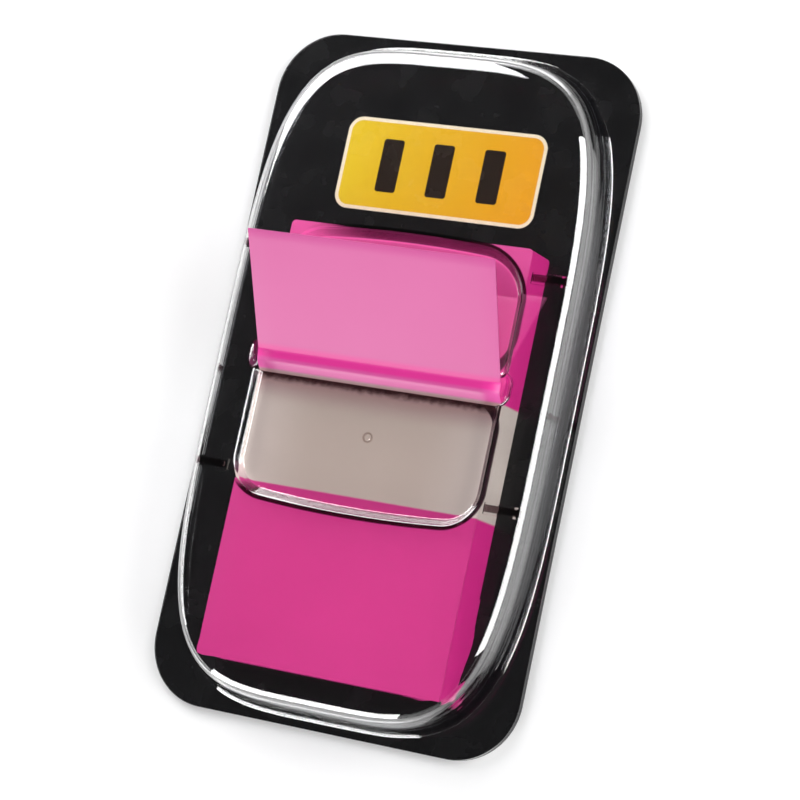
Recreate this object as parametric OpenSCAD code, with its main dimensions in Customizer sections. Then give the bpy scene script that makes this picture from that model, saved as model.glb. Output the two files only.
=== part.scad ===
/* [Card] */
// Width of the backing card
card_w = 38.5; // [36:0.5:60]
// Length of the backing card
card_l = 68.3; // [66:0.1:90]
// Thickness of the backing card
card_t = 0.5; // [0.3:0.05:1.5]
// Corner radius of the card and of the flange sealed to it
corner_r = 6.2; // [2:0.1:9]

/* [Tabs] */
// Width of one tab
tab_w = 25.4; // [12:0.1:26]
// Length of one tab
tab_l = 43.2; // [38:0.1:44]
// Thickness of one tab
tab_t = 0.12; // [0.08:0.01:0.2]
// Height of the stack of tabs
stack_h = 3.6; // [2:0.1:6]
// Distance from the stack's lower end to the card's lower edge
stack_foot = 4.95; // [4.8:0.05:8]
// Layers that the edge of the stack shows
stack_layers = 12; // [4:1:16]
// Stagger of the layers
stack_stagger = 0.02; // [0:0.01:0.15]
// Distance that the lowest layer sits to the right of the top one
stack_lean = 0.45; // [0:0.05:1]

/* [Lead tab] */
// Angle at which the lead tab leans back
lean_angle = 37; // [20:1:70]
// Length of the lead tab that stands clear of the slot
lead_free = 12.4; // [8:0.1:20]
// Gap between the lead tab and the bar that it bends over
lead_gap = 0.1; // [0.05:0.01:0.3]

/* [Cover] */
// Thickness of the clear sheet
sheet_t = 0.3; // [0.2:0.05:0.4]
// Width of the flange beside the dome at mid length
side_margin = 0.4; // [0.3:0.05:3]
// Width of the flange at the two ends
end_margin = 0.55; // [0.3:0.05:3]
// Sideways set of the dome on the card, as it was sealed
cover_shift = 0.2; // [-0.4:0.05:0.4]
// Squareness of the dome's outline
dome_power = 4.1; // [3.8:0.1:8]
// How much further the shoulder slopes in at the head end
head_slope = 1.25; // [1:0.05:1.5]
// Draft of the dome's wall, degrees from upright
dome_draft = 14; // [5:1:25]
// Radius where the wall meets the flange
root_r = 0.4; // [0.2:0.05:1]
// Radius of the dome's shoulder
shoulder_r = 2.2; // [1:0.1:3]

/* [Wells] */
// Depth of the wells below the top of the dome
well_depth = 1.1; // [0.8:0.05:2]
// Distance of a well's side walls inside the edges of the tabs
well_inset = 0.1; // [-0.5:0.05:1]
// Length of the upper well above the bar
upper_well_l = 11.9; // [8:0.1:18]
// Length of the lower well below the bar
lower_well_l = 12.4; // [8:0.1:16]
// Radius of the outer corners of the upper well
upper_well_r = 4.4; // [1:0.1:6]
// Radius of the outer corners of the lower well
lower_well_r = 3.2; // [1:0.1:6]
// Rise of the arched ends of the wells
well_crown = 0.7; // [0:0.1:1.5]
// Radius of the wells' rims
rim_r = 0.4; // [0.35:0.05:0.8]
// Radius round the floors of the wells
floor_r = 0.3; // [0.1:0.05:0.5]
// Draft of the wells' walls, degrees from upright
well_draft = 32; // [10:1:45]

/* [Bar and slot] */
// Distance from the middle of the card up to the middle of the bar
bar_y = 0.2; // [-3:0.1:3]
// Width of the bar between the two wells
bar_w = 2.4; // [1.6:0.1:4]
// Height of the bar above the floors of the wells
bar_h = 0.35; // [0.2:0.05:0.6]
// Reach of the bar's rounded ends past the edges of the tabs
bar_reach = 0.7; // [0.5:0.05:1.5]
// Width of the slot that the tabs come out of
slot_w = 1; // [0.9:0.05:1.2]
// Distance of the slot's middle above the lower edge of the bar
slot_set = 0.15; // [0:0.05:0.5]
// Radius of the wells' corners beside the bar
bar_side_r = 0.6; // [0.3:0.1:1]
// Radius of the bar's rounded ends
bar_end_r = 1; // [0.6:0.1:1.1]
// Room in the slot beyond each edge of a tab
slot_side = 0.3; // [0.25:0.05:0.6]
// Gap left between the stack and the floors of the wells
well_gap = 0.1; // [0.05:0.05:0.5]

/* [Hinge grooves and dimple] */
// Distance of the grooves from the middle of the card
groove_y = 11; // [4:0.1:12]
// Width of a groove
groove_w = 0.5; // [0.4:0.05:1]
// Depth of a groove
groove_d = 0.35; // [0.1:0.05:0.5]
// Gap between a well and the inner end of a groove
groove_gap = 1.1; // [0.8:0.1:2]
// Diameter of the dimple in the lower well
dimple_d = 1.1; // [0.6:0.1:2]
// Depth of the dimple
dimple_depth = 0.12; // [0.05:0.01:0.2]
// Distance of the dimple below the bar
dimple_gap = 5.15; // [2:0.05:8]

/* [Hidden] */
// points round the dome's outline
outline_n = 64;
// steps round one corner of a well, and along one arched end
corner_n = 6;
crown_n = 6;
// steps of the lead tab's bend up through the slot, and of its bend over the bar
lift_n = 8;
bend_n = 5;
// steps of a large and of a small fillet, and round a full circle
big_steps = 6;
small_steps = 3;
card_fn = 96;
dimple_fn = 32;
// smallest radius that a corner keeps as it is inset
least_r = 0.05;
// a cut passes this far beyond what it cuts
over = 0.5;
// the trough over the bar laps this far into each well
lap = 0.2;
// the dimple's floor as a share of its diameter
dimple_floor = 0.6;
// turns from layer to layer that spread the stagger evenly
spread_x = 137;
spread_y = 97;
// bends of the lead tab: how far before the slot it lifts, the reach of each
// curve's handles, and where behind the bar's crest it runs straight
lift_set = 0.1;
lift_handle = [0.42, 0];
crest_in = [0.32, 0.27];
crest_out = [0.25, 0.21];
straight_set = [0.6, 0.35];
straight_handle = 0.45;
// levels from the underside of the card upward
stack_top = card_t + stack_h;
tab_top = stack_top + tab_t;
flange_top = card_t + sheet_t;
floor_z = tab_top + well_gap + sheet_t;
bar_z = floor_z + bar_h;
dome_z = floor_z + well_depth;
// plan of the stack
stack_y0 = stack_foot - card_l / 2;
// plan of the dome's root
dome_a = card_w / 2 - side_margin;
dome_b = card_l / 2 - end_margin;
// plan of the wells, measured at half depth
well_a = tab_w / 2 - well_inset;
bar_a = tab_w / 2 + bar_reach;
bar_lo = bar_y - bar_w / 2;
bar_hi = bar_y + bar_w / 2;
slot_y = bar_lo + slot_set;

// outline of the dome at one inset from its root
function dome_ring(inset, z) =
    [for (i = [0 : outline_n - 1])
        let (t = 360 * i / outline_n,
             e = 2 / dome_power,
             slope = sin(t) > 0 ? head_slope : 1)
        [(dome_a - inset) * sign(cos(t)) * pow(abs(cos(t)), e),
         (dome_b - inset * slope) * sign(sin(t)) * pow(abs(sin(t)), e),
         z]];

// section of the dome, as pairs of inset and height, from the flange up,
// where skin is 0 on the outside and the sheet's thickness on the inside
function dome_section(skin) =
    let (root_n = root_r + skin,
         top_n = shoulder_r - skin,
         rise = dome_z - flange_top - (root_r + shoulder_r) * (1 - sin(dome_draft)),
         root_z = flange_top + root_r,
         centre = (root_r + shoulder_r) * cos(dome_draft) + rise * tan(dome_draft),
         centre_z = dome_z - shoulder_r,
         turn = 90 - dome_draft)
    concat(
        [for (i = [0 : small_steps])
            let (b = turn * i / small_steps)
            [root_n * sin(b), root_z - root_n * cos(b)]],
        [for (i = [0 : big_steps])
            let (b = turn * (1 - i / big_steps))
            [centre - top_n * sin(b), centre_z + top_n * cos(b)]]);

// outline of a well at one inset, arched at the end that lies away from the bar
function well_ring(half, y0, y1, r, r_bar, crown, inset, z) =
    let (w = half - inset,
         up = y1 > y0 ? 1 : -1,
         far = y1 - up * inset,
         near = y0 + up * inset,
         rf = max(r - inset, least_r),
         rn = max(r_bar - inset, least_r),
         right = [for (i = [0 : corner_n])
            let (b = -90 + 90 * i / corner_n)
            [w - rn + rn * cos(b), near + up * (rn + rn * sin(b))]],
         outer = [for (i = [0 : corner_n])
            let (b = 90 * i / corner_n)
            [w - rf + rf * cos(b), far - up * (rf - rf * sin(b))]],
         arch = [for (i = [1 : crown_n - 1])
            [(w - rf) * (1 - 2 * i / crown_n), far]],
         half_ring = concat(right, outer),
         ring = concat(half_ring, arch,
            [for (i = [len(half_ring) - 1 : -1 : 0]) [-half_ring[i][0], half_ring[i][1]]]),
         placed = [for (p = ring)
            let (share = max(0, up * (p[1] - near) / abs(far - near)))
            [p[0], p[1] - up * crown * share * pow(p[0] / w, 2), z]])
    up > 0 ? placed : [for (i = [len(placed) - 1 : -1 : 0]) placed[i]];

// section of a well, as pairs of inset and height, from the floor up,
// where skin is 0 on the outside and the sheet's thickness on the inside
function well_section(depth, skin) =
    let (rim_n = rim_r - skin,
         floor_n = floor_r + skin,
         turn = 90 - well_draft,
         rise = depth - (rim_r + floor_r) * (1 - sin(well_draft)),
         run = (rim_r + floor_r) * cos(well_draft) + rise * tan(well_draft),
         top = dome_z,
         base = dome_z - depth)
    concat(
        [for (i = [0 : small_steps])
            let (b = turn * i / small_steps)
            [run / 2 - floor_n * sin(b), base + floor_r - floor_n * cos(b)]],
        [for (i = [0 : small_steps])
            let (b = turn * (1 - i / small_steps))
            [-run / 2 + rim_n * sin(b), top - rim_r + rim_n * cos(b)]],
        [[-run / 2, top + over]]);

// solid through a list of rings, each with the same number of points
module loft(rings) {
    count = len(rings[0]);
    last = len(rings) - 1;
    points = [for (ring = rings) each ring];
    sides = [for (k = [0 : last - 1]) for (i = [0 : count - 1])
        let (a = k * count + i,
             b = k * count + (i + 1) % count)
        each [[a, a + count, b], [b, a + count, b + count]]];
    bottom = [[for (i = [0 : count - 1]) i]];
    top = [[for (i = [count - 1 : -1 : 0]) last * count + i]];
    polyhedron(points, concat(bottom, sides, top));
}

// dome as a closed block, outside or inside
module dome_block(skin) {
    section = dome_section(skin);
    foot = [section[0][0], card_t - (skin > 0 ? over : 0)];
    loft([for (s = concat([foot], section)) dome_ring(s[0], s[1])]);
}

// hollow of one well, outside or grown by the sheet
module well_block(half, y0, y1, r, r_bar, crown, depth, skin) {
    loft([for (s = well_section(depth, skin))
        well_ring(half, y0, y1, r, r_bar, crown, s[0], s[1])]);
}

// the two wells, the shallower trough over the bar, and the four grooves
module hollows(skin) {
    well_block(well_a, bar_hi, bar_hi + upper_well_l, upper_well_r, bar_side_r, well_crown,
               well_depth, skin);
    well_block(well_a, bar_lo, bar_lo - lower_well_l, lower_well_r, bar_side_r, well_crown,
               well_depth, skin);
    well_block(bar_a, bar_lo - lap, bar_hi + lap, bar_end_r, bar_end_r, 0, well_depth - bar_h, skin);
    for (sx = [-1, 1], sy = [-1, 1])
        groove(sx, sy, skin);
}

// one short groove from beside a well out over the shoulder
module groove(sx, sy, skin) {
    x0 = well_a + groove_gap - skin;
    long = dome_a - x0;
    wide = groove_w + 2 * skin;
    translate([sx > 0 ? x0 : -x0 - long, sy * groove_y - wide / 2, dome_z - groove_d - skin])
        cube([long, wide, groove_d + skin + over]);
}

// flat sheet with the card's outline
module card_plate(thick) {
    linear_extrude(thick) {
        square([card_w - 2 * corner_r, card_l], center = true);
        square([card_w, card_l - 2 * corner_r], center = true);
        for (sx = [-1, 1], sy = [-1, 1])
            translate([sx * (card_w / 2 - corner_r), sy * (card_l / 2 - corner_r)])
                circle(corner_r, $fn = card_fn);
    }
}

module backing_card() {
    color([0.06, 0.06, 0.065])
        card_plate(card_t);
}

// layers of tabs, the top ones set a little to the left of the lowest
module tab_stack() {
    layer = stack_h / stack_layers;
    color([0.87, 0.24, 0.55])
        for (i = [0 : stack_layers - 1])
            translate([-tab_w / 2 + stack_lean * (1 - i / stack_layers) + stack_stagger * sin(i * spread_x),
                       stack_y0 + stack_stagger * cos(i * spread_y),
                       card_t + i * layer])
                cube([tab_w, tab_l, layer]);
}

// middle line of the lead tab in the plane of y and z: flat on the stack,
// up through the slot, over the bar, then leaning back
function lead_curve() =
    let (z0 = stack_top + tab_t / 2,
         top = bar_z + tab_t / 2 + lead_gap,
         slot_lo = slot_y - slot_w / 2,
         slot_hi = slot_y + slot_w / 2,
         foot = [slot_lo - lift_set, z0],
         crest = [slot_hi, top],
         leave = [bar_hi - straight_set[0], top + straight_set[1]],
         run = [cos(lean_angle), sin(lean_angle)])
    concat(
        [[stack_y0, z0]],
        [for (i = [0 : lift_n]) bezier(foot, foot + lift_handle, crest - crest_in, crest, i / lift_n)],
        [for (i = [1 : bend_n])
            bezier(crest, crest + crest_out, leave - straight_handle * run, leave, i / bend_n)],
        [leave + lead_free * run]);

function bezier(a, b, c, d, t) =
    pow(1 - t, 3) * a + 3 * pow(1 - t, 2) * t * b + 3 * (1 - t) * t * t * c + t * t * t * d;

// unit vector square to the path at point i
function square_to(path, i) =
    let (a = path[max(i - 1, 0)],
         b = path[min(i + 1, len(path) - 1)],
         d = (b - a) / norm(b - a))
    [-d[1], d[0]];

module lead_tab() {
    path = lead_curve();
    last = len(path) - 1;
    upper = [for (i = [0 : last]) path[i] + square_to(path, i) * tab_t / 2];
    lower = [for (i = [last : -1 : 0]) path[i] - square_to(path, i) * tab_t / 2];
    color([0.93, 0.5, 0.72])
        translate([-tab_w / 2, 0, 0])
            rotate([90, 0, 90])
                linear_extrude(tab_w)
                    polygon(concat(upper, lower));
}

module slot_cut() {
    slot_a = tab_w / 2 + slot_side;
    translate([-slot_a, slot_y - slot_w / 2, stack_top])
        cube([2 * slot_a, slot_w, dome_z]);
}

module dimple_cut() {
    translate([0, bar_lo - dimple_gap, floor_z - dimple_depth])
        cylinder(h = dimple_depth + over, d1 = dimple_d * dimple_floor, d2 = dimple_d, $fn = dimple_fn);
}

module clear_cover() {
    color([0.85, 0.9, 0.95, 0.35])
        difference() {
            union() {
                translate([0, 0, card_t])
                    card_plate(sheet_t);
                translate([cover_shift, 0, 0])
                    dome_block(0);
            }
            translate([cover_shift, 0, 0]) {
                hollows(0);
                difference() {
                    dome_block(sheet_t);
                    hollows(sheet_t);
                }
                dimple_cut();
                slot_cut();
            }
        }
}

backing_card();
tab_stack();
lead_tab();
clear_cover();
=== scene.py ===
import math

import bmesh
import bpy
from mathutils import Matrix, Vector


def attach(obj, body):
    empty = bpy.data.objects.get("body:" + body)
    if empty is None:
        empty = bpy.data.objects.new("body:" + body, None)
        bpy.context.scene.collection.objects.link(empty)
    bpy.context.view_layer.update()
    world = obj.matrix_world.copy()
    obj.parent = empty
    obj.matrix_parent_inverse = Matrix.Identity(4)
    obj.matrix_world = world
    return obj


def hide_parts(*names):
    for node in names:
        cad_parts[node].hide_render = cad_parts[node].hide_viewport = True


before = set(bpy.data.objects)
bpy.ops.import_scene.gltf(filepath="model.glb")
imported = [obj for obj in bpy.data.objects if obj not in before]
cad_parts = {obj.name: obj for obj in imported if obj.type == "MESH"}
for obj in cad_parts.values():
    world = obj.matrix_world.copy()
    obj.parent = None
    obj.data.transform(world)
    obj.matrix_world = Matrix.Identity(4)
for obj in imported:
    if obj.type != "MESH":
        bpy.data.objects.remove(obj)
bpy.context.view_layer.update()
scene = bpy.context.scene

# Camera
# The photograph looks down on the pack from its right side and a little from
# its foot, from a quarter of a metre away, with a long lens.
lens = bpy.data.cameras.new("camera")
lens.lens = 116.55
lens.sensor_width = 36
lens.clip_start = 0.02
camera = bpy.data.objects.new("camera", lens)
camera.matrix_world = Matrix((
    (0.90608, -0.13916, 0.39956, 0.10050),
    (0.20760, 0.96909, -0.13326, -0.03475),
    (-0.36867, 0.20370, 0.90697, 0.22657),
    (0, 0, 0, 1),
))
scene.collection.objects.link(camera)
scene.camera = camera


# Backing card
# Stiff board varnished black on both sides, cut with four round corners. The
# front carries a plain printed panel near its head, under the clear cover.
panel_middle = (0.0, 21.3)
panel_half = (10.6, 4.7)
panel_corner = 1.5
panel_border = 0.35
ink_edge = 0.04
mark_places = (-5.4, 0.0, 5.4)
mark_half = (1.1, 2.7)
mark_corner = 0.3


def paint(red, green, blue):
    """A colour as its values in a picture, for a shader's colour socket."""
    def linear(v):
        v = v / 255
        return v / 12.92 if v <= 0.04045 else ((v + 0.055) / 1.055) ** 2.4
    return (linear(red), linear(green), linear(blue), 1)


class Finish:
    """A new material and short ways to add its nodes."""

    def __init__(self, name):
        self.material = bpy.data.materials.new(name)
        self.material.use_nodes = True
        self.tree = self.material.node_tree
        self.shader = self.tree.nodes["Principled BSDF"]
        place = self.tree.nodes.new("ShaderNodeTexCoord").outputs["Object"]
        self.place = place
        self.axes = self.add("ShaderNodeSeparateXYZ", {"Vector": place}).outputs

    def add(self, kind, feeds=(), **settings):
        node = self.tree.nodes.new(kind)
        for key, value in settings.items():
            setattr(node, key, value)
        for key, value in dict(feeds).items():
            self.feed(node.inputs[key], value)
        return node

    def feed(self, socket, value):
        if isinstance(value, bpy.types.NodeSocket):
            self.tree.links.new(value, socket)
        else:
            socket.default_value = value

    def set(self, **values):
        for key, value in values.items():
            self.feed(self.shader.inputs[key.replace("_", " ")], value)

    def sum(self, operation, *values):
        node = self.add("ShaderNodeMath", operation=operation)
        for socket, value in zip(node.inputs, values):
            self.feed(socket, value)
        return node.outputs[0]

    def millimetres(self, axis):
        """The place along one axis, 0 for x, 1 for y and 2 for z."""
        return self.sum("MULTIPLY", self.axes[axis], 1000.0)

    def off(self, value, middle):
        """How far a value is from a middle, to either side."""
        return self.sum("ABSOLUTE", self.sum("SUBTRACT", value, middle))

    def ramp(self, value, low, high, smooth=True):
        """0 where value is under low, 1 over high."""
        kind = "SMOOTHSTEP" if smooth else "LINEAR"
        node = self.add("ShaderNodeMapRange", interpolation_type=kind)
        for socket, number in zip(node.inputs, (value, low, high, 0, 1)):
            self.feed(socket, number)
        return node.outputs[0]

    def blend(self, share, first, second):
        """first where share is 0, second where it is 1."""
        node = self.add("ShaderNodeMix", data_type="RGBA")
        self.feed(node.inputs[0], share)
        self.feed(node.inputs[6], first)
        self.feed(node.inputs[7], second)
        return node.outputs[2]

    def noise(self, scale, detail=3.0, stretch=None):
        place = self.place
        if stretch:
            place = self.add("ShaderNodeMapping", {"Vector": place, "Scale": stretch}).outputs[0]
        return self.add("ShaderNodeTexNoise", {"Vector": place, "Scale": scale, "Detail": detail}).outputs[0]

    def bump(self, height, distance, strength=1.0):
        node = self.add("ShaderNodeBump", {"Height": height, "Distance": distance, "Strength": strength})
        self.feed(self.shader.inputs["Normal"], node.outputs[0])


def new_group(name, inputs, outputs):
    """An empty shader node group with its named sockets, and a short way to add math nodes to it."""
    group = bpy.data.node_groups.new(name, "ShaderNodeTree")
    for socket, kind in inputs:
        group.interface.new_socket(socket, in_out="INPUT", socket_type="NodeSocket" + kind)
    for socket in outputs:
        group.interface.new_socket(socket, in_out="OUTPUT", socket_type="NodeSocketFloat")
    start = group.nodes.new("NodeGroupInput").outputs
    end = group.nodes.new("NodeGroupOutput").inputs

    def math_node(operation, *values):
        node = group.nodes.new("ShaderNodeMath")
        node.operation = operation
        for socket, value in zip(node.inputs, values):
            if isinstance(value, bpy.types.NodeSocket):
                group.links.new(value, socket)
            else:
                socket.default_value = value
        return node.outputs[0]

    return group, start, end, math_node


def rounded_panel():
    """Node group for the distance outside a rounded rectangle, which is less than 0 inside it."""
    names = ("Across", "Up", "Middle Across", "Middle Up", "Half Across", "Half Up", "Corner")
    group, start, end, sums = new_group("rounded_panel", [(name, "Float") for name in names], ["Distance"])
    sides = []
    for axis in ("Across", "Up"):
        away = sums("ABSOLUTE", sums("SUBTRACT", start[axis], start["Middle " + axis]))
        sides.append(sums("ADD", sums("SUBTRACT", away, start["Half " + axis]), start["Corner"]))
    outer = [sums("MAXIMUM", side, 0.0) for side in sides]
    far = sums("SQRT", sums("ADD", *[sums("MULTIPLY", side, side) for side in outer]))
    near = sums("MINIMUM", sums("MAXIMUM", *sides), 0.0)
    group.links.new(sums("SUBTRACT", sums("ADD", far, near), start["Corner"]), end["Distance"])
    return group


panels = rounded_panel()


def rounded_field(finish, x, y, middle, half, corner):
    """The distance outside one rounded rectangle in millimetres, for one material."""
    node = finish.add("ShaderNodeGroup", node_tree=panels)
    for socket, value in zip(node.inputs, (x, y, *middle, *half, corner)):
        finish.feed(socket, value)
    return node.outputs["Distance"]


card = Finish("varnished_board")
card_x, card_y = card.millimetres(0), card.millimetres(1)
panel = rounded_field(card, card_x, card_y, panel_middle, panel_half, panel_corner)
in_panel = card.ramp(panel, ink_edge, -ink_edge)
in_amber = card.ramp(panel, ink_edge - panel_border, -ink_edge - panel_border)
across = card.ramp(card_x, -panel_half[0], panel_half[0], smooth=False)
amber = card.blend(across, paint(222, 190, 38), paint(230, 158, 30))
left, middle, right = [rounded_field(card, card_x, card_y, (x, panel_middle[1]), mark_half, mark_corner)
                       for x in mark_places]
marks = card.sum("MINIMUM", card.sum("MINIMUM", left, middle), right)
in_marks = card.ramp(marks, ink_edge, -ink_edge)
print_ink = card.blend(in_marks, amber, paint(38, 28, 22))
print_ink = card.blend(in_amber, paint(240, 226, 196), print_ink)
fibre = card.noise(900.0, 4.0)
black = card.blend(fibre, paint(11, 11, 12), paint(17, 16, 18))
top_face = card.ramp(card.axes[2], 0.00040, 0.00049)
in_panel = card.sum("MULTIPLY", in_panel, top_face)
card.set(
    Base_Color=card.blend(in_panel, black, print_ink),
    Roughness=card.ramp(card.noise(260.0), -0.2, 2.6, smooth=False),
    Specular_IOR_Level=0.3,
)
card.bump(card.sum("MULTIPLY", fibre, top_face), 0.00001, 0.35)
card_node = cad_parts["backing_card"]
card_node.data.materials.clear()
card_node.data.materials.append(card.material)


# Stack of tabs
# Thin films stuck lightly on each other. Each has a pink end and a clear end
# with the adhesive, so the stack is pink at its ends and beige between.
tab_width, tab_length = 25.4, 43.2
tab_foot = -29.2
stack_low, stack_high = 0.5, 4.1
stack_lean = 0.45
tab_corner = 0.45
zone_edge = 0.2
clear_top, clear_foot = -1.0, -12.0


def tab_zones():
    """Node group that tells the pink ends of a tab from its clear part, by the place up the card."""
    inputs = [("Position", "Vector"), ("Softness", "Float")]
    group, start, end, sums = new_group("tab_zones", inputs, ["Pink", "Millimetres"])
    split = group.nodes.new("ShaderNodeSeparateXYZ")
    group.links.new(start["Position"], split.inputs[0])
    up = sums("MULTIPLY", split.outputs[1], 1000.0)
    off_middle = sums("ABSOLUTE", sums("SUBTRACT", up, (clear_top + clear_foot) / 2))
    outside = sums("SUBTRACT", off_middle, (clear_top - clear_foot) / 2)
    share = group.nodes.new("ShaderNodeClamp")
    group.links.new(sums("ADD", sums("DIVIDE", outside, start["Softness"]), 0.5), share.inputs[0])
    group.links.new(share.outputs[0], end["Pink"])
    group.links.new(up, end["Millimetres"])
    return group


zones = tab_zones()


def zoned(finish, softness):
    """The share of pink and the place up the card in millimetres, for one material."""
    node = finish.add("ShaderNodeGroup", node_tree=zones)
    finish.feed(node.inputs["Position"], finish.place)
    finish.feed(node.inputs["Softness"], softness)
    return node.outputs["Pink"], node.outputs["Millimetres"]


def shade_smooth(mesh, sharp=None):
    """Smooth shading, with sharp edges where the surface turns by more than an angle."""
    for polygon in mesh.polygons:
        polygon.use_smooth = True
    if sharp:
        mesh.set_sharp_from_angle(angle=sharp)


sharp_over = math.radians(35)
pile = bmesh.new()
bmesh.ops.create_cube(pile, size=1)
bmesh.ops.scale(pile, vec=(tab_width, tab_length, stack_high - stack_low), verts=pile.verts)
bmesh.ops.translate(pile, vec=(0, tab_foot + tab_length / 2, (stack_high + stack_low) / 2), verts=pile.verts)
upright = [e for e in pile.edges if abs(e.verts[0].co.z - e.verts[1].co.z) > 1]
bmesh.ops.bevel(pile, geom=upright, offset=tab_corner, offset_type="OFFSET", segments=6, profile=0.5,
                affect="EDGES", material=-1)
for vert in pile.verts:
    vert.co.x += stack_lean * (stack_high - vert.co.z) / (stack_high - stack_low)
bmesh.ops.scale(pile, vec=(0.001, 0.001, 0.001), verts=pile.verts)
pile_mesh = bpy.data.meshes.new("stacked_tabs")
pile.to_mesh(pile_mesh)
pile.free()
shade_smooth(pile_mesh, sharp_over)
stacked_tabs = bpy.data.objects.new("stacked_tabs", pile_mesh)
scene.collection.objects.link(stacked_tabs)

stack = Finish("stacked_film")
pink, up_card = zoned(stack, zone_edge)
side = stack.ramp(stack.axes[2], 0.00409, 0.00407)
cloud = stack.noise(90.0, 2.0)
pink_top = stack.blend(cloud, paint(198, 38, 124), paint(210, 50, 136))
# Painted light: the pink top is lighter towards the head end.
pink_top = stack.blend(stack.ramp(up_card, 8.0, 13.0), pink_top, paint(224, 72, 152))
clear_top_face = stack.blend(cloud, paint(174, 156, 148), paint(190, 174, 166))
# Painted shade and painted pink reflection: the clear part is darker and pinker just under the slot.
clear_top_face = stack.blend(stack.ramp(up_card, -4.2, -1.2), clear_top_face, paint(158, 126, 126))
leaves = stack.noise(60.0, 3.0, stretch=(1.0, 1.0, 90.0))
top_colour = stack.blend(pink, clear_top_face, pink_top)
side_colour = stack.blend(pink, paint(176, 168, 158), paint(184, 14, 112))
side_colour = stack.blend(stack.sum("MULTIPLY", leaves, 0.2), side_colour, paint(120, 30, 84))
stack.set(Base_Color=stack.blend(side, top_colour, side_colour), Roughness=0.5)
stack.bump(leaves, 0.00002, 0.4)
pile_mesh.materials.append(stack.material)
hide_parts("tab_stack")
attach(stacked_tabs, "root")


# Lead tab
# The uppermost film. It lies on the stack, comes up through the slot, bends
# over the bar and leans back over the upper well, hazy where it stands free.
tab_thick = 0.12
lie_z = 4.16
crest_z = 5.13
slot_low, slot_high = -1.35, -0.35
straight_from = Vector((0.8, 5.48))
lean = math.radians(37)
free_length = 12.4


def bend(a, b, c, d, share):
    """A point on the curve from a to d with the handles b and c."""
    rest = 1 - share
    return rest**3 * a + 3 * rest**2 * share * b + 3 * rest * share**2 * c + share**3 * d


def tab_path():
    """Middle line of the lead tab, as points of y and z in millimetres."""
    run = Vector((math.cos(lean), math.sin(lean)))
    foot = Vector((slot_low - 0.1, lie_z))
    crest = Vector((slot_high, crest_z))
    rise = [bend(foot, foot + Vector((0.42, 0)), crest - Vector((0.32, 0.27)), crest, i / 14)
            for i in range(15)]
    over = [bend(crest, crest + Vector((0.25, 0.21)), straight_from - 0.45 * run, straight_from, i / 10)
            for i in range(1, 11)]
    flat = [Vector((tab_foot + (foot.x - tab_foot) * i / 6, lie_z)) for i in range(6)]
    free = [straight_from + run * free_length * i / 12 for i in range(1, 13)]
    return flat + rise + over + free


path = tab_path()
strip = bmesh.new()
bmesh.ops.create_grid(strip, x_segments=12, y_segments=len(path) - 1, size=0.5)
for vert in strip.verts:
    point = path[round((vert.co.y + 0.5) * (len(path) - 1))]
    vert.co = Vector((vert.co.x * tab_width, point.x, point.y)) * 0.001
bmesh.ops.recalc_face_normals(strip, faces=strip.faces)
lead_mesh = bpy.data.meshes.new("lead_tab_film")
strip.to_mesh(lead_mesh)
strip.free()
shade_smooth(lead_mesh)
lead_tab = bpy.data.objects.new("lead_tab_film", lead_mesh)
scene.collection.objects.link(lead_tab)
wall = lead_tab.modifiers.new("film", "SOLIDIFY")
wall.thickness = tab_thick * 0.001
wall.offset = 0
lead_tab.modifiers.new("evened", "WEIGHTED_NORMAL")

film = Finish("lead_film")
film_pink, film_y = zoned(film, zone_edge)
film_cloud = film.noise(70.0, 2.0)
hazy = film.blend(film_cloud, paint(210, 76, 152), paint(216, 88, 160))
beige = film.blend(film_cloud, paint(186, 172, 160), paint(196, 181, 169))
# Painted light: the clear part is lighter towards the film's sides.
off_centre = film.off(film.millimetres(0), 0.0)
beige = film.blend(film.ramp(off_centre, 5.0, 13.0), beige, paint(208, 196, 186))
# Painted shade and painted pink reflection: the clear part is darker and pinker towards the slot.
beige = film.blend(film.ramp(film_y, -4.6, -1.2), beige, paint(158, 122, 122))
film_colour = film.blend(film_pink, beige, hazy)
over_bar = film.sum("MULTIPLY", film.ramp(film_y, -0.2, 0.15), film.ramp(film_y, 1.35, 0.85))
film_colour = film.blend(over_bar, film_colour, paint(226, 52, 150))
lower_end = film.ramp(film_y, clear_foot + 0.1, clear_foot - 0.1)
printed = film.blend(film_cloud, paint(192, 38, 121), paint(204, 48, 131))
film_colour = film.blend(lower_end, film_colour, printed)
film.set(Base_Color=film_colour, Roughness=0.42)
film.bump(film.noise(1200.0, 2.0), 0.000004, 0.4)
lead_mesh.materials.append(film.material)
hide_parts("lead_tab")
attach(lead_tab, "root")


# Clear cover
# One sheet of clear plastic drawn down over a mould while hot: a flat flange,
# a dome over the tabs, two finger wells with a bar and a slot between them,
# four short grooves and a dimple. The flange is sealed to the card.
sheet = 0.3
card_top = 0.5
seal = 0.015
flange_top = 0.8
floor_z = 4.62
bar_z = 4.97
dome_z = 5.72
card_half = (19.25, 34.15)
card_corner = 6.2
dome_half = (18.85, 33.6)
dome_shift = 0.2
dome_power = 4.1
head_slope = 1.25
dome_draft = math.radians(14)
root_r, shoulder_r = 0.4, 2.2
rim_r, floor_r = 0.4, 0.3
well_draft = math.radians(32)
well_half = 12.6
bar_half = 13.4
bar_low, bar_high = -1.0, 1.4
low_length, low_corner = 12.4, 3.2
high_length, high_corner = 11.9, 4.4
bar_corner = 0.6
well_crown = 0.7
groove_y, groove_half, groove_deep = 11.0, 0.25, 0.35
groove_start, groove_end = 13.7, 19.0
slot_half = 13.0
dimple_y = bar_low - 5.15
dimple_deep = 0.3


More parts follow.
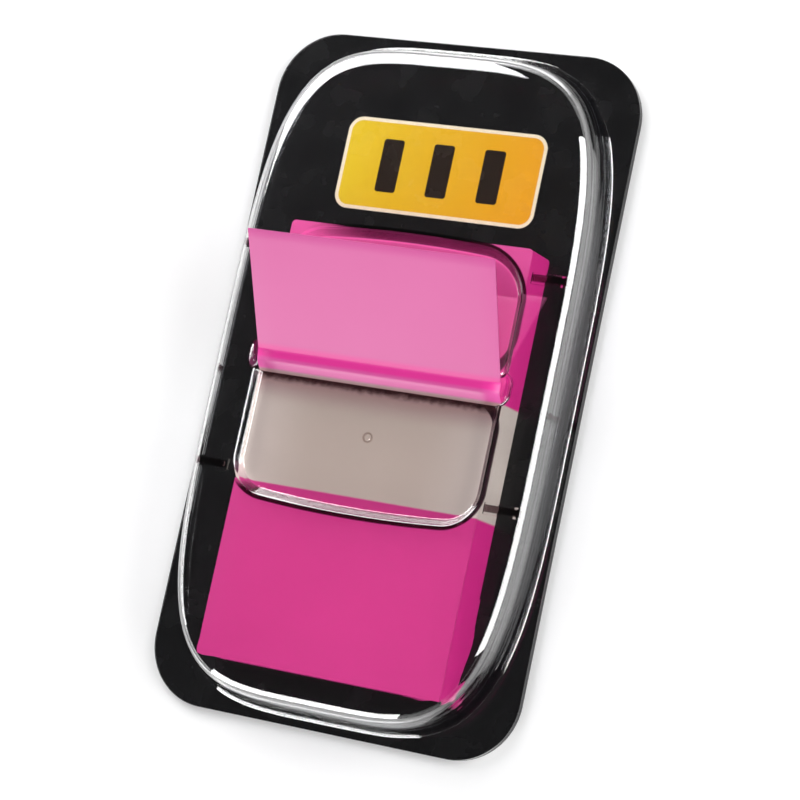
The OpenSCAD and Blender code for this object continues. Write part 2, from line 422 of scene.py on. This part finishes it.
def to_object(bm, name, shift=0.0):
    """The finished mesh as an object of the scene, still in millimetres."""
    bmesh.ops.recalc_face_normals(bm, faces=bm.faces)
    bmesh.ops.translate(bm, vec=(shift, 0, 0), verts=bm.verts)
    mesh = bpy.data.meshes.new(name)
    bm.to_mesh(mesh)
    bm.free()
    made = bpy.data.objects.new(name, mesh)
    scene.collection.objects.link(made)
    return made


def join(body, tool, how):
    """Adds the tool to the body, or takes it away, and removes the tool."""
    step = body.modifiers.new(how.lower(), "BOOLEAN")
    step.operation = how
    step.solver = "MANIFOLD"
    step.object = tool
    bpy.context.view_layer.update()
    settled = bpy.data.meshes.new_from_object(body.evaluated_get(bpy.context.evaluated_depsgraph_get()))
    body.modifiers.clear()
    old = body.data
    body.data = settled
    bpy.data.meshes.remove(old)
    bpy.data.objects.remove(tool)


def flange_plate():
    """The flat flange, with the card's outline."""
    bm = bmesh.new()
    face = bmesh.ops.create_grid(bm, x_segments=1, y_segments=1, size=1)["verts"]
    bmesh.ops.scale(bm, vec=(card_half[0], card_half[1], 1), verts=face)
    bmesh.ops.bevel(bm, geom=bm.verts[:], offset=card_corner, offset_type="OFFSET", segments=24,
                    profile=0.5, affect="VERTICES", material=-1)
    bmesh.ops.translate(bm, vec=(0, 0, card_top + seal), verts=bm.verts)
    raised = bmesh.ops.extrude_face_region(bm, geom=bm.faces[:])["geom"]
    bmesh.ops.translate(bm, vec=(0, 0, flange_top - card_top - seal),
                        verts=[v for v in raised if isinstance(v, bmesh.types.BMVert)])
    return to_object(bm, "flange")


def dome_section(skin):
    """Pairs of inset and height up the dome, where skin is 0 outside and the sheet's thickness inside."""
    root, top = root_r + skin, shoulder_r - skin
    rise = dome_z - flange_top - (root_r + shoulder_r) * (1 - math.sin(dome_draft))
    centre = (root_r + shoulder_r) * math.cos(dome_draft) + rise * math.tan(dome_draft)
    turn = math.pi / 2 - dome_draft
    pairs = [(0, card_top + (-0.5 if skin else seal))]
    for i in range(9):
        angle = turn * i / 8
        pairs.append((root * math.sin(angle), flange_top + root_r - root * math.cos(angle)))
    for i in range(17):
        angle = turn * (1 - i / 16)
        pairs.append((centre - top * math.sin(angle), dome_z - shoulder_r + top * math.cos(angle)))
    return pairs


def dome_block(skin):
    """The dome as a closed block, its outline squared and its head sloping in further."""
    bm = bmesh.new()
    unit = bm.verts.layers.float_vector.new("unit")
    bmesh.ops.create_circle(bm, cap_ends=True, segments=240, radius=1)
    for vert in bm.verts:
        vert[unit] = [math.copysign(abs(v) ** (2 / dome_power), v) for v in vert.co[:2]] + [0]
    bm.faces.ensure_lookup_table()
    face = bm.faces[0]
    for step, (inset, z) in enumerate(dome_section(skin)):
        if step:
            bmesh.ops.inset_individual(bm, faces=[face], thickness=0.01, depth=0.01)
        for vert in face.verts:
            slope = head_slope if vert[unit].y > 0 else 1
            vert.co = (vert[unit].x * (dome_half[0] - inset),
                       vert[unit].y * (dome_half[1] - inset * slope), z)
    bmesh.ops.holes_fill(bm, edges=bm.edges[:], sides=0)
    return to_object(bm, "dome", dome_shift)


def well_section(depth, skin):
    """Pairs of inset and height down a well, from above its rim to its floor."""
    rim, floor = rim_r - skin, floor_r + skin
    turn = math.pi / 2 - well_draft
    rise = depth - (rim_r + floor_r) * (1 - math.sin(well_draft))
    run = (rim_r + floor_r) * math.cos(well_draft) + rise * math.tan(well_draft)
    pairs = [(-run / 2, dome_z + 0.5)]
    for i in range(9):
        angle = turn * i / 8
        pairs.append((-run / 2 + rim * math.sin(angle), dome_z - rim_r + rim * math.cos(angle)))
    for i in range(9):
        angle = turn * (1 - i / 8)
        pairs.append((run / 2 - floor * math.sin(angle), dome_z - depth + floor_r - floor * math.cos(angle)))
    return pairs


def well_block(half, near, far, far_r, near_r, crown, depth, skin):
    """The hollow of one well as a closed block, arched at the end away from the bar."""
    away = 1 if far > near else -1
    bm = bmesh.new()
    core = bm.verts.layers.float_vector.new("core")
    way = bm.verts.layers.float_vector.new("way")
    bmesh.ops.create_grid(bm, x_segments=1, y_segments=1, size=1)
    for vert in bm.verts:
        vert.co = (vert.co.x * half, far if vert.co.y > 0 else near, 0)
    for end, radius in ((far, far_r), (near, near_r)):
        corners = [v for v in bm.verts if abs(v.co.y - end) < 0.001 and abs(abs(v.co.x) - half) < 0.001]
        bmesh.ops.bevel(bm, geom=corners, offset=radius, offset_type="OFFSET", segments=12,
                        profile=0.5, affect="VERTICES", material=-1)
    straight = [e for e in bm.edges if all(abs(v.co.y - far) < 0.001 for v in e.verts)]
    bmesh.ops.subdivide_edges(bm, edges=straight, cuts=15)
    for vert in bm.verts:
        at_far = abs(vert.co.y - far) < abs(vert.co.y - near)
        end, radius, turn = (far, far_r, away) if at_far else (near, near_r, -away)
        reach = half - radius
        vert[core] = (max(-reach, min(reach, vert.co.x)), end - turn * radius, radius)
        vert[way] = (vert.co.xy - vert[core].xy).normalized().to_3d()
    bm.faces.ensure_lookup_table()
    face = bm.faces[0]
    for step, (inset, z) in enumerate(well_section(depth, skin)):
        if step:
            bmesh.ops.inset_individual(bm, faces=[face], thickness=0.01, depth=0.01)
        for vert in face.verts:
            x, y = vert[core].xy + vert[way].xy * (vert[core].z - inset)
            share = max(0.0, away * (y - near) / abs(far - near))
            vert.co = (x, y - away * crown * share * (x / (half - inset)) ** 2, z)
    bmesh.ops.holes_fill(bm, edges=bm.edges[:], sides=0)
    return to_object(bm, "well", dome_shift)


def box(low, high):
    """A plain block between two corners."""
    bm = bmesh.new()
    bmesh.ops.create_cube(bm, size=1)
    low, high = Vector(low), Vector(high)
    bmesh.ops.scale(bm, vec=high - low, verts=bm.verts)
    bmesh.ops.translate(bm, vec=(low + high) / 2, verts=bm.verts)
    return bm


def take_hollows(body, skin):
    """Takes the two wells, the trough over the bar and the four grooves away from the body."""
    depth = dome_z - floor_z
    for near, far, corner in ((bar_high, bar_high + high_length, high_corner),
                              (bar_low, bar_low - low_length, low_corner)):
        well = well_block(well_half, near, far, corner, bar_corner, well_crown, depth, skin)
        join(body, well, "DIFFERENCE")
    trough = well_block(bar_half, bar_low - 0.2, bar_high + 0.2, 1, 1, 0, dome_z - bar_z, skin)
    join(body, trough, "DIFFERENCE")
    for side_x in (-1, 1):
        for middle_y in (-groove_y, groove_y):
            ends = sorted((side_x * (groove_start - skin), side_x * groove_end))
            groove = box((ends[0], middle_y - groove_half - skin, dome_z - groove_deep - skin),
                         (ends[1], middle_y + groove_half + skin, dome_z + 0.5))
            join(body, to_object(groove, "groove", dome_shift), "DIFFERENCE")


cover = flange_plate()
join(cover, dome_block(0), "UNION")
take_hollows(cover, 0)
hollow = dome_block(sheet)
take_hollows(hollow, sheet)
join(cover, hollow, "DIFFERENCE")
slot = box((-slot_half, slot_low, stack_high), (slot_half, slot_high, dome_z + 1))
join(cover, to_object(slot, "slot", dome_shift), "DIFFERENCE")
dimple = bmesh.new()
bmesh.ops.create_cone(dimple, cap_ends=True, segments=40, radius1=0.2, radius2=0.65, depth=dimple_deep)
bmesh.ops.translate(dimple, vec=(0, dimple_y, floor_z - 0.05), verts=dimple.verts)
join(cover, to_object(dimple, "dimple", dome_shift), "DIFFERENCE")

shell = bmesh.new()
shell.from_mesh(cover.data)
bmesh.ops.remove_doubles(shell, verts=shell.verts, dist=0.003)
bmesh.ops.dissolve_degenerate(shell, edges=shell.edges, dist=0.0005)
bmesh.ops.scale(shell, vec=(0.001, 0.001, 0.001), verts=shell.verts)
shell.to_mesh(cover.data)
shell.free()
cover.name = "moulded_cover"
cover.data.name = "moulded_cover"
shade_smooth(cover.data, sharp_over)
evened = cover.modifiers.new("evened", "WEIGHTED_NORMAL")
evened.keep_sharp = True

clear = Finish("clear_sheet")
clear_x, clear_y, clear_z = [clear.millimetres(axis) for axis in range(3)]
facing = clear.add("ShaderNodeLayerWeight", {"Blend": 0.5}).outputs["Facing"]
normal = clear.add("ShaderNodeSeparateXYZ", {"Vector": clear.place.node.outputs["Normal"]}).outputs
upward = normal[2]

# The wells' outlines, with the arch at their far ends taken out of the place up the card
rim_out = 0.3
bow = clear.sum("MULTIPLY", clear.sum("MULTIPLY", clear_x, clear_x), well_crown / well_half ** 2)
off_bar = clear.ramp(clear.off(clear_y, 0.0), -bar_low, low_length - bar_low, smooth=False)
bow = clear.sum("MULTIPLY", clear.sum("MULTIPLY", bow, off_bar), clear.sum("SIGN", clear_y))
unbowed = clear.sum("ADD", clear_y, bow)
low_well = rounded_field(clear, clear_x, unbowed, (dome_shift, bar_low - low_length / 2),
                         (well_half + rim_out, low_length / 2 + rim_out), low_corner + rim_out)
high_well = rounded_field(clear, clear_x, unbowed, (dome_shift, bar_high + high_length / 2),
                          (well_half + rim_out, high_length / 2 + rim_out), high_corner + rim_out)

# Painted shade: dark rims at the wells' right sides and far ends, and dark walls where they turn edge on
low_turn = clear.sum("MAXIMUM", clear.ramp(clear_x, 10.0, 12.2), clear.ramp(clear_y, -12.0, -13.0))
low_rim = clear.sum("MULTIPLY", low_turn, clear.ramp(clear.off(low_well, 0.0), 0.56, 0.42))
high_turn = clear.ramp(clear.sum("ADD", clear_x, clear_y), 2.0, 10.0)
high_rim = clear.sum("MULTIPLY", high_turn, clear.ramp(clear.off(high_well, 0.0), 0.52, 0.40))
rim_shade = clear.sum("MULTIPLY", clear.sum("MAXIMUM", low_rim, high_rim), clear.ramp(clear_z, 4.0, 4.1))
tint_and_painted_shade = clear.blend(rim_shade, (1, 1, 1, 1), (0.05, 0.02, 0.035, 1))
in_wells = clear.ramp(clear.sum("MINIMUM", low_well, high_well), 0.5, 0.3)
on_wall = clear.sum("MULTIPLY", in_wells, clear.ramp(upward, 0.97, 0.90))
wall_shade = clear.sum("MULTIPLY", on_wall, clear.ramp(facing, 0.14, 0.46))
tint_and_painted_shade = clear.blend(wall_shade, tint_and_painted_shade, (0.14, 0.06, 0.10, 1))

# Painted shade: a ragged dark shadow line along the slot's lower edge, the four grooves darker, and a darker
# band round the dimple
ragged = clear.sum("ADD", clear_y, clear.sum("MULTIPLY", clear.noise(1600.0, 4.0), 0.8))
painted_slot_shadow = clear.sum("MULTIPLY", clear.ramp(ragged, -1.84, -1.10), clear.ramp(ragged, -0.82, -0.92))
painted_slot_shadow = clear.sum("MULTIPLY", painted_slot_shadow, clear.ramp(clear_z, floor_z + 0.04, floor_z + 0.02))
tint_and_painted_shade = clear.blend(painted_slot_shadow, tint_and_painted_shade, (0.13, 0.07, 0.08, 1))
off_side = clear.off(clear_x, dome_shift)
off_groove = clear.off(clear.off(clear_y, 0.0), groove_y)
# Painted shade: the grooves are darker.
grooves = clear.sum("MULTIPLY", clear.ramp(off_side, groove_start - 0.35, groove_start - 0.1),
                    clear.ramp(off_groove, groove_half + 0.15, groove_half + 0.05))
grooves = clear.sum("MULTIPLY", grooves, clear.ramp(clear_z, dome_z - 0.9, dome_z - 0.5))
tint_and_painted_shade = clear.blend(grooves, tint_and_painted_shade, (0.10, 0.05, 0.06, 1))
off_dimple = clear.off(clear_y, dimple_y)
from_dimple = clear.sum("SQRT", clear.sum("ADD", clear.sum("MULTIPLY", off_side, off_side),
                                          clear.sum("MULTIPLY", off_dimple, off_dimple)))
# Painted shade: a darker band round the dimple.
dimple_ring_shade = clear.sum("MULTIPLY", clear.ramp(from_dimple, 0.3, 0.4), clear.ramp(from_dimple, 0.56, 0.46))
tint_and_painted_shade = clear.blend(dimple_ring_shade, tint_and_painted_shade, (0.62, 0.55, 0.53, 1))

# Painted shade: the foot of the outer wall is darker. The cut edge of the flange is nearly black
low_wall_shade = clear.sum("MULTIPLY", clear.ramp(clear_z, 3.4, 2.0), clear.ramp(clear_z, 0.9, 1.3))
tint_and_painted_shade = clear.blend(low_wall_shade, tint_and_painted_shade, (0.42, 0.42, 0.46, 1))
cut_edge = clear.sum("MULTIPLY", clear.ramp(clear_z, 1.0, 0.85),
                     clear.ramp(clear.off(upward, 0.0), 0.6, 0.3))
tint_and_painted_shade = clear.blend(cut_edge, tint_and_painted_shade, (0.04, 0.04, 0.04, 1))

# More gloss on what faces up or to the foot, and on the right wall's upper part
right_wall = clear.sum("MULTIPLY", clear.ramp(normal[0], 0.5, 0.6), clear.ramp(clear_x, 13.6, 14.2))
right_wall = clear.sum("MULTIPLY", right_wall, clear.ramp(clear_z, 2.8, 3.8))
coat = clear.sum("MAXIMUM", clear.ramp(upward, 0.5, 0.6), clear.ramp(normal[1], -0.5, -0.8))
coat = clear.sum("MAXIMUM", coat, right_wall)
clear.set(Base_Color=tint_and_painted_shade, Roughness=0.0, IOR=1.5, Transmission_Weight=1.0,
          Coat_Weight=coat, Coat_Roughness=0.0, Coat_IOR=1.8)
waves = clear.noise(130.0, 2.0)
drawn = clear.noise(60.0, 2.0, stretch=(0.1, 0.1, 20.0))
clear.bump(clear.sum("ADD", waves, clear.sum("MULTIPLY", drawn, 10.0)), 0.00002, 0.8)
rays = clear.add("ShaderNodeLightPath").outputs
open_way = clear.add("ShaderNodeBsdfTransparent", {"Color": (0.85, 0.85, 0.86, 1)}).outputs[0]
shaders = {0: rays["Is Shadow Ray"], 1: clear.shader.outputs[0], 2: open_way}
mixed = clear.add("ShaderNodeMixShader", shaders)
output = clear.tree.nodes["Material Output"]
clear.feed(output.inputs["Surface"], mixed.outputs[0])
cover.data.materials.clear()
cover.data.materials.append(clear.material)
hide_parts("clear_cover")
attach(cover, "root")


# Studio
# A white table, with soft panels at the head, the right side and the foot,
# and a small one at the left. The table lies a hair under the card.
table_half = 1.5
table_gap = 0.00003
table = bmesh.new()
bmesh.ops.create_grid(table, x_segments=1, y_segments=1, size=table_half)
bmesh.ops.translate(table, vec=(0, 0, -table_gap), verts=table.verts)
table_mesh = bpy.data.meshes.new("table")
table.to_mesh(table_mesh)
table.free()
table_top = bpy.data.objects.new("table", table_mesh)
scene.collection.objects.link(table_top)
white = Finish("white_table")
white.set(Base_Color=(0.88, 0.88, 0.88, 1), Roughness=0.9, Specular_IOR_Level=0.1)
rays = white.add("ShaderNodeLightPath").outputs
seen = white.sum("MAXIMUM", white.sum("MAXIMUM", rays["Is Camera Ray"], rays["Is Glossy Ray"]),
                 rays["Is Transmission Ray"])
white.set(Emission_Color=(1, 1, 1, 1), Emission_Strength=white.sum("MULTIPLY", seen, 0.1))
table_mesh.materials.append(white.material)


def panel_light(name, turn, rise, distance, width, height, brightness):
    """A soft panel facing the pack, turned from the head towards the right. White has a brightness of 1."""
    light = bpy.data.lights.new(name, "AREA")
    light.shape = "RECTANGLE"
    light.size = width
    light.size_y = height
    light.energy = brightness * math.pi * width * height
    lamp = bpy.data.objects.new(name, light)
    turn, rise = math.radians(turn), math.radians(rise)
    way = Vector((math.sin(turn) * math.cos(rise), math.cos(turn) * math.cos(rise), math.sin(rise)))
    lamp.matrix_world = Matrix.Translation(way * distance) @ way.to_track_quat("Z", "Y").to_matrix().to_4x4()
    lamp.visible_transmission = False
    scene.collection.objects.link(lamp)


panel_light("head_panel", -43, 21, 0.45, 0.42, 0.31, 8)
panel_light("right_panel", 79, 21, 0.45, 0.55, 0.25, 9)
panel_light("foot_panel", -154, 12, 0.45, 0.35, 0.18, 10)
panel_light("left_panel", -97, 9, 0.45, 0.16, 0.05, 5)

world = bpy.data.worlds.new("room")
world.use_nodes = True
world.node_tree.nodes["Background"].inputs["Color"].default_value = (1, 1, 1, 1)
world.node_tree.nodes["Background"].inputs["Strength"].default_value = 0.02
scene.world = world
scene.view_settings.view_transform = "Standard"
